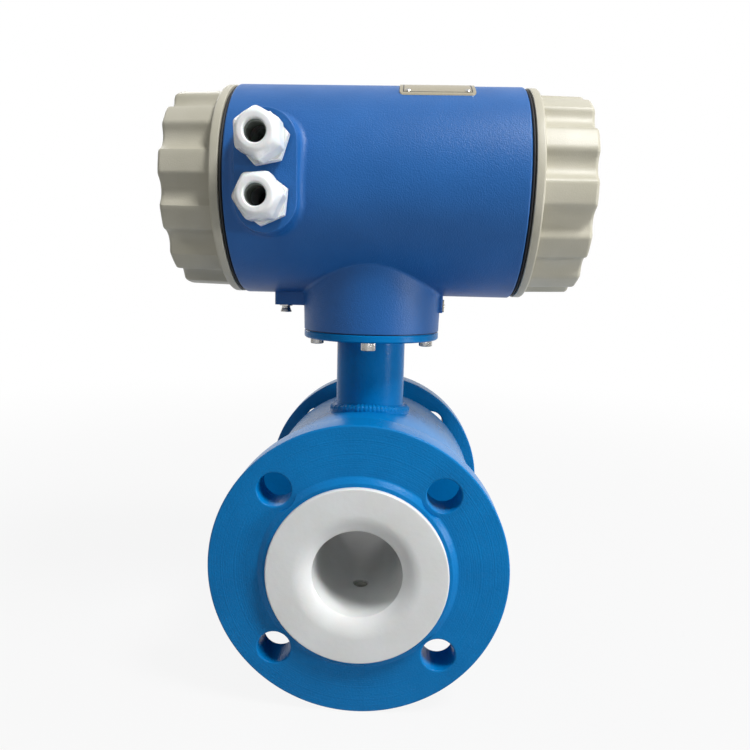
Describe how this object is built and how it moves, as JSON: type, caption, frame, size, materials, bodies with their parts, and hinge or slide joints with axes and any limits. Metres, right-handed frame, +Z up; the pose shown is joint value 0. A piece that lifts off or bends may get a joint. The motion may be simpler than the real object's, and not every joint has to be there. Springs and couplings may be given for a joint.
{
  "type": "electromagnetic flow meter",
  "caption": "Compact electromagnetic flow meter: flanged, lined tube with coils and electrodes, and a round signal converter with screwed end covers on a neck.",
  "frame": {"origin": "centre of the flow bore, midway between the two liner faces", "axes": "+Y along the flow from inlet to outlet, +Z up to the converter, +X to the display end of the converter"},
  "size_m": [0.2416, 0.2, 0.3484],
  "materials": {
    "sensor_enamel": "glossy sky-blue enamel",
    "housing_coat": "fine-texture royal-blue powder coat",
    "cover_paint": "satin warm silver-grey paint",
    "liner_plastic": "smooth white fluoroplastic",
    "tube_steel": "plain stainless steel",
    "electrode_steel": "turned stainless steel",
    "insulator": "plain insulating plastic",
    "soft_iron": "plain soft iron",
    "coil_winding": "enamelled copper winding",
    "potting": "black potting compound",
    "screw_steel": "bright plated steel",
    "seal_rubber": "black rubber",
    "window": "clear toughened glass",
    "gland_nylon": "white nylon",
    "board_laminate": "green circuit board",
    "terminal_plastic": "green terminal plastic",
    "component_black": "black component",
    "screen_face": "liquid crystal screen",
    "plate_grey": "dark grey front plate",
    "key_plastic": "light grey key",
    "label_metal": "brushed aluminium, blank"
  },
  "bodies": {
    "meter": {"outlet_flange": "sensor_enamel", "inlet_flange": "sensor_enamel", "measuring_tube": "sensor_enamel", "liner": "liner_plastic", "electrode_left": "electrode_steel", "electrode_right": "electrode_steel", "ground_electrode": "electrode_steel", "electrode_bushes": "insulator", "electrode_springs": "electrode_steel", "electrode_nuts": "electrode_steel", "upper_coil": "coil_winding", "lower_coil": "coil_winding", "upper_core": "soft_iron", "lower_core": "soft_iron", "field_yoke": "soft_iron", "sensor_shell": "sensor_enamel", "inlet_shell_end": "sensor_enamel", "outlet_shell_end": "sensor_enamel", "neck_tube": "sensor_enamel", "neck_plate": "sensor_enamel", "neck_gasket": "seal_rubber", "neck_potting": "potting", "neck_screws": "screw_steel", "converter_housing": "housing_coat", "upper_gland_body": "gland_nylon", "lower_gland_body": "gland_nylon", "gland_washers": "seal_rubber", "terminal_board": "board_laminate", "terminal_blocks": "terminal_plastic", "terminal_screws": "screw_steel", "power_board": "board_laminate", "transformer": "component_black", "capacitors": "component_black", "main_board": "board_laminate", "board_standoffs": "screw_steel", "display_board": "board_laminate", "display_screen": "screen_face", "display_plate": "plate_grey", "display_screws": "screw_steel", "nameplate": "label_metal", "nameplate_rivets": "screw_steel", "side_tag": "label_metal", "side_tag_pins": "screw_steel", "ground_washer": "screw_steel", "ground_screw": "screw_steel"},
    "terminal_cover_seat": {"terminal_cover_seal": "seal_rubber"},
    "terminal_cover_cap": {"terminal_cover": "cover_paint"},
    "display_cover_seat": {"display_cover_seal": "seal_rubber"},
    "display_cover_cap": {"display_cover": "cover_paint", "window_glass": "window", "window_gasket": "seal_rubber", "window_ring": "label_metal"},
    "upper_gland_insert": {"upper_gland_seal": "seal_rubber"},
    "upper_gland_cap": {"upper_gland_nut": "gland_nylon"},
    "lower_gland_insert": {"lower_gland_seal": "seal_rubber"},
    "lower_gland_cap": {"lower_gland_nut": "gland_nylon"},
    "key_1_cap": {"key_1": "key_plastic"},
    "key_2_cap": {"key_2": "key_plastic"},
    "key_3_cap": {"key_3": "key_plastic"},
    "key_4_cap": {"key_4": "key_plastic"}
  },
  "joints": [
    {"name": "terminal_cover_travel", "type": "slide", "parent": "meter", "child": "terminal_cover_seat", "axis": [-1, 0, 0], "range_m": [0, 0.01205]},
    {"name": "terminal_cover_turn", "type": "hinge", "parent": "terminal_cover_seat", "child": "terminal_cover_cap", "pos_m": [-0.0792, 0, 0.2058], "axis": [-1, 0, 0], "range_deg": [0, 2160]},
    {"name": "display_cover_travel", "type": "slide", "parent": "meter", "child": "display_cover_seat", "axis": [1, 0, 0], "range_m": [0, 0.01205]},
    {"name": "display_cover_turn", "type": "hinge", "parent": "display_cover_seat", "child": "display_cover_cap", "pos_m": [0.0854, 0, 0.2058], "axis": [1, 0, 0], "range_deg": [0, 2160]},
    {"name": "upper_gland_travel", "type": "slide", "parent": "meter", "child": "upper_gland_insert", "axis": [0, -1, 0], "range_m": [0, 0.00453]},
    {"name": "upper_gland_turn", "type": "hinge", "parent": "upper_gland_insert", "child": "upper_gland_cap", "pos_m": [-0.0545, -0.075, 0.2235], "axis": [0, -1, 0], "range_deg": [0, 1080]},
    {"name": "lower_gland_travel", "type": "slide", "parent": "meter", "child": "lower_gland_insert", "axis": [0, -1, 0], "range_m": [0, 0.00453]},
    {"name": "lower_gland_turn", "type": "hinge", "parent": "lower_gland_insert", "child": "lower_gland_cap", "pos_m": [-0.0545, -0.075, 0.1935], "axis": [0, -1, 0], "range_deg": [0, 1080]},
    {"name": "key_1_press", "type": "slide", "parent": "meter", "child": "key_1_cap", "axis": [-1, 0, 0], "range_m": [0, 0.0008], "stiffness_N_per_m": 400, "springref_m": -0.001},
    {"name": "key_2_press", "type": "slide", "parent": "meter", "child": "key_2_cap", "axis": [-1, 0, 0], "range_m": [0, 0.0008], "stiffness_N_per_m": 400, "springref_m": -0.001},
    {"name": "key_3_press", "type": "slide", "parent": "meter", "child": "key_3_cap", "axis": [-1, 0, 0], "range_m": [0, 0.0008], "stiffness_N_per_m": 400, "springref_m": -0.001},
    {"name": "key_4_press", "type": "slide", "parent": "meter", "child": "key_4_cap", "axis": [-1, 0, 0], "range_m": [0, 0.0008], "stiffness_N_per_m": 400, "springref_m": -0.001}
  ],
  "couplings": [
    {"joint": "terminal_cover_travel", "follows": "terminal_cover_turn", "m_per_rad": 0.0003183},
    {"joint": "display_cover_travel", "follows": "display_cover_turn", "m_per_rad": 0.0003183},
    {"joint": "upper_gland_travel", "follows": "upper_gland_turn", "m_per_rad": 0.0002387},
    {"joint": "lower_gland_travel", "follows": "lower_gland_turn", "m_per_rad": 0.0002387}
  ]
}
